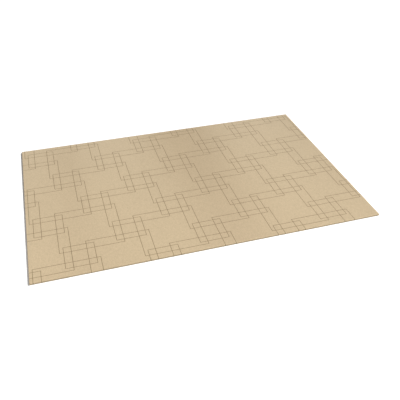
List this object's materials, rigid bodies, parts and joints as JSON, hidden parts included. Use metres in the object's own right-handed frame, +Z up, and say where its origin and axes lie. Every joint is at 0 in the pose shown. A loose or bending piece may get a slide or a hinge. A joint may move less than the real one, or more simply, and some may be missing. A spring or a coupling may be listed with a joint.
{
  "type": "desk pad",
  "caption": "Flat rectangular desk pad: a stiff board wrapped in line-printed kraft paper, with mitred turn-ins and a paper lining underneath.",
  "frame": {"origin": "centre of the pad's outline, on the desk surface that it lies on", "axes": "+X along the long side to the user's right, +Y away from the user, +Z up out of the writing surface"},
  "size_m": [0.575, 0.375, 0.0032],
  "materials": {
    "greyboard": "matte",
    "dried_glue": "satin",
    "printed_kraft": "satin",
    "lining_kraft": "matte",
    "print_ink": "matte"
  },
  "bodies": {
    "root": {"core_board": "greyboard", "cover_glue_film": "dried_glue", "cover_sheet": "printed_kraft", "lining_glue_film": "dried_glue", "lining_sheet": "lining_kraft"}
  },
  "joints": []
}
